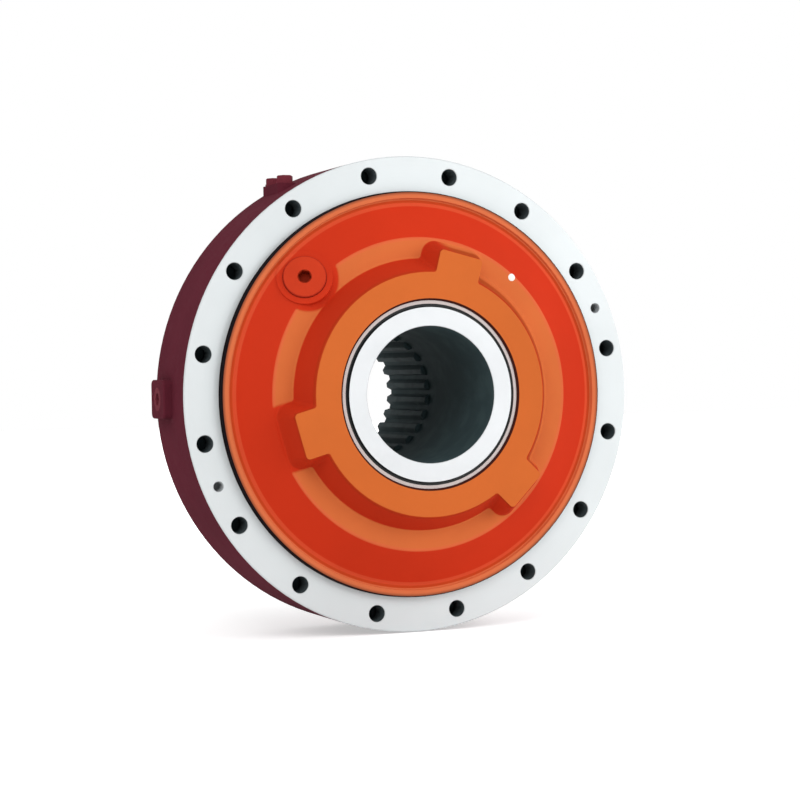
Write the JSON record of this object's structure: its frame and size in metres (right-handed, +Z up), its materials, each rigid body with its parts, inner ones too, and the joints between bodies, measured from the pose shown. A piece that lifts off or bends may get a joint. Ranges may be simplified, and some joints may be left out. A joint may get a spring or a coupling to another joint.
{
  "type": "radial piston motor",
  "caption": "Radial piston hydraulic motor with a flanged drum housing, a lobed domed front cover and a hollow splined shaft turned by pistons and rollers that press on an inner cam ring.",
  "frame": {"origin": "centre of the machined mounting face, on the shaft axis", "axes": "Y along the shaft axis with the domed front facing -Y, X to the right and Z up seen from the front"},
  "size_m": [0.511, 0.291, 0.494],
  "materials": {
    "cover_paint": "satin paint over a cast surface, mounting face and rim bare",
    "plug_paint": "satin paint",
    "drum_paint": "dark red paint, slightly rough",
    "rear_paint": "dark red paint, slightly rough",
    "housing_paint": "dark red paint, slightly rough",
    "shaft_steel": "ground and turned steel",
    "race_steel": "ground hardened steel",
    "roller_steel": "lapped hardened steel",
    "piston_steel": "ground steel",
    "ring_iron": "ground cast iron",
    "cage_brass": "turned brass",
    "valve_iron": "lapped face",
    "sleeve_steel": "ground steel",
    "spring_steel": "blued spring steel",
    "seal_steel": "pressed steel",
    "seal_rubber": "matt",
    "screw_steel": "black oxide",
    "plug_steel": "zinc plated",
    "washer_copper": "soft copper"
  },
  "bodies": {
    "housing": {"front_cover": "cover_paint", "cover_plug": "plug_paint", "cover_plug_washer": "washer_copper", "cam_ring": "drum_paint", "rear_cover": "rear_paint", "connection_housing": "housing_paint", "drain_plug": "plug_steel", "bleed_plugs": "plug_steel", "housing_screws": "screw_steel", "connection_screws": "screw_steel", "dowel_pins": "screw_steel", "case_seals": "seal_rubber", "front_seal_case": "seal_steel", "rear_seal_case": "seal_steel", "front_seal_lip": "seal_rubber", "rear_seal_lip": "seal_rubber", "front_outer_race": "race_steel", "rear_outer_race": "race_steel", "valve_plate": "valve_iron", "valve_sleeves": "sleeve_steel", "valve_springs": "spring_steel"},
    "shaft": {"cylinder_block": "shaft_steel", "front_inner_race": "race_steel", "rear_inner_race": "race_steel", "shaft_snap_rings": "spring_steel"},
    "front_cage": {"front_bearing_cage": "cage_brass", "front_bearing_rollers": "roller_steel"},
    "rear_cage": {"rear_bearing_cage": "cage_brass", "rear_bearing_rollers": "roller_steel"},
    "piston_01": {"piston_01": "piston_steel", "piston_ring_01": "ring_iron"},
    "roller_01": {"cam_roller_01": "roller_steel"},
    "piston_02": {"piston_02": "piston_steel", "piston_ring_02": "ring_iron"},
    "roller_02": {"cam_roller_02": "roller_steel"},
    "piston_03": {"piston_03": "piston_steel", "piston_ring_03": "ring_iron"},
    "roller_03": {"cam_roller_03": "roller_steel"},
    "piston_04": {"piston_04": "piston_steel", "piston_ring_04": "ring_iron"},
    "roller_04": {"cam_roller_04": "roller_steel"},
    "piston_05": {"piston_05": "piston_steel", "piston_ring_05": "ring_iron"},
    "roller_05": {"cam_roller_05": "roller_steel"},
    "piston_06": {"piston_06": "piston_steel", "piston_ring_06": "ring_iron"},
    "roller_06": {"cam_roller_06": "roller_steel"},
    "piston_07": {"piston_07": "piston_steel", "piston_ring_07": "ring_iron"},
    "roller_07": {"cam_roller_07": "roller_steel"},
    "piston_08": {"piston_08": "piston_steel", "piston_ring_08": "ring_iron"},
    "roller_08": {"cam_roller_08": "roller_steel"},
    "piston_09": {"piston_09": "piston_steel", "piston_ring_09": "ring_iron"},
    "roller_09": {"cam_roller_09": "roller_steel"},
    "piston_10": {"piston_10": "piston_steel", "piston_ring_10": "ring_iron"},
    "roller_10": {"cam_roller_10": "roller_steel"}
  },
  "joints": [
    {"name": "shaft_spin", "type": "hinge", "parent": "housing", "child": "shaft", "pos_m": [0, 0.068, 0], "axis": [0, 1, 0], "continuous": true},
    {"name": "front_cage_spin", "type": "hinge", "parent": "housing", "child": "front_cage", "pos_m": [0, -0.015, 0], "axis": [0, 1, 0], "continuous": true},
    {"name": "rear_cage_spin", "type": "hinge", "parent": "housing", "child": "rear_cage", "pos_m": [0, 0.189, 0], "axis": [0, 1, 0], "continuous": true},
    {"name": "piston_01_stroke", "type": "slide", "parent": "shaft", "child": "piston_01", "axis": [0, 0, 1], "range_m": [0, 0.00256]},
    {"name": "roller_01_spin", "type": "hinge", "parent": "piston_01", "child": "roller_01", "pos_m": [0, 0.068, 0.15], "axis": [0, 1, 0], "continuous": true},
    {"name": "piston_02_stroke", "type": "slide", "parent": "shaft", "child": "piston_02", "axis": [-0.5878, 0, 0.809], "range_m": [0, 0.01374]},
    {"name": "roller_02_spin", "type": "hinge", "parent": "piston_02", "child": "roller_02", "pos_m": [-0.08817, 0.068, 0.12135], "axis": [0, 1, 0], "continuous": true},
    {"name": "piston_03_stroke", "type": "slide", "parent": "shaft", "child": "piston_03", "axis": [-0.9511, 0, 0.309], "range_m": [0, 0.02065]},
    {"name": "roller_03_spin", "type": "hinge", "parent": "piston_03", "child": "roller_03", "pos_m": [-0.14266, 0.068, 0.04635], "axis": [0, 1, 0], "continuous": true},
    {"name": "piston_04_stroke", "type": "slide", "parent": "shaft", "child": "piston_04", "axis": [-0.9511, 0, -0.309], "range_m": [0, 0.01374]},
    {"name": "roller_04_spin", "type": "hinge", "parent": "piston_04", "child": "roller_04", "pos_m": [-0.14266, 0.068, -0.04635], "axis": [0, 1, 0], "continuous": true},
    {"name": "piston_05_stroke", "type": "slide", "parent": "shaft", "child": "piston_05", "axis": [-0.5878, 0, -0.809], "range_m": [0, 0.00256]},
    {"name": "roller_05_spin", "type": "hinge", "parent": "piston_05", "child": "roller_05", "pos_m": [-0.08817, 0.068, -0.12135], "axis": [0, 1, 0], "continuous": true},
    {"name": "piston_06_stroke", "type": "slide", "parent": "shaft", "child": "piston_06", "axis": [0, 0, -1], "range_m": [0, 0.00256]},
    {"name": "roller_06_spin", "type": "hinge", "parent": "piston_06", "child": "roller_06", "pos_m": [0, 0.068, -0.15], "axis": [0, 1, 0], "continuous": true},
    {"name": "piston_07_stroke", "type": "slide", "parent": "shaft", "child": "piston_07", "axis": [0.5878, 0, -0.809], "range_m": [0, 0.01374]},
    {"name": "roller_07_spin", "type": "hinge", "parent": "piston_07", "child": "roller_07", "pos_m": [0.08817, 0.068, -0.12135], "axis": [0, 1, 0], "continuous": true},
    {"name": "piston_08_stroke", "type": "slide", "parent": "shaft", "child": "piston_08", "axis": [0.9511, 0, -0.309], "range_m": [0, 0.02065]},
    {"name": "roller_08_spin", "type": "hinge", "parent": "piston_08", "child": "roller_08", "pos_m": [0.14266, 0.068, -0.04635], "axis": [0, 1, 0], "continuous": true},
    {"name": "piston_09_stroke", "type": "slide", "parent": "shaft", "child": "piston_09", "axis": [0.9511, 0, 0.309], "range_m": [0, 0.01374]},
    {"name": "roller_09_spin", "type": "hinge", "parent": "piston_09", "child": "roller_09", "pos_m": [0.14266, 0.068, 0.04635], "axis": [0, 1, 0], "continuous": true},
    {"name": "piston_10_stroke", "type": "slide", "parent": "shaft", "child": "piston_10", "axis": [0.5878, 0, 0.809], "range_m": [0, 0.00256]},
    {"name": "roller_10_spin", "type": "hinge", "parent": "piston_10", "child": "roller_10", "pos_m": [0.08817, 0.068, 0.12135], "axis": [0, 1, 0], "continuous": true}
  ],
  "couplings": [
    {"joint": "front_cage_spin", "follows": "shaft_spin", "ratio": 0.47535},
    {"joint": "rear_cage_spin", "follows": "shaft_spin", "ratio": 0.47535},
    {"joint": "roller_01_spin", "follows": "shaft_spin", "ratio": -9.9444},
    {"joint": "roller_02_spin", "follows": "shaft_spin", "ratio": -9.9444},
    {"joint": "roller_03_spin", "follows": "shaft_spin", "ratio": -9.9444},
    {"joint": "roller_04_spin", "follows": "shaft_spin", "ratio": -9.9444},
    {"joint": "roller_05_spin", "follows": "shaft_spin", "ratio": -9.9444},
    {"joint": "roller_06_spin", "follows": "shaft_spin", "ratio": -9.9444},
    {"joint": "roller_07_spin", "follows": "shaft_spin", "ratio": -9.9444},
    {"joint": "roller_08_spin", "follows": "shaft_spin", "ratio": -9.9444},
    {"joint": "roller_09_spin", "follows": "shaft_spin", "ratio": -9.9444},
    {"joint": "roller_10_spin", "follows": "shaft_spin", "ratio": -9.9444}
  ]
}
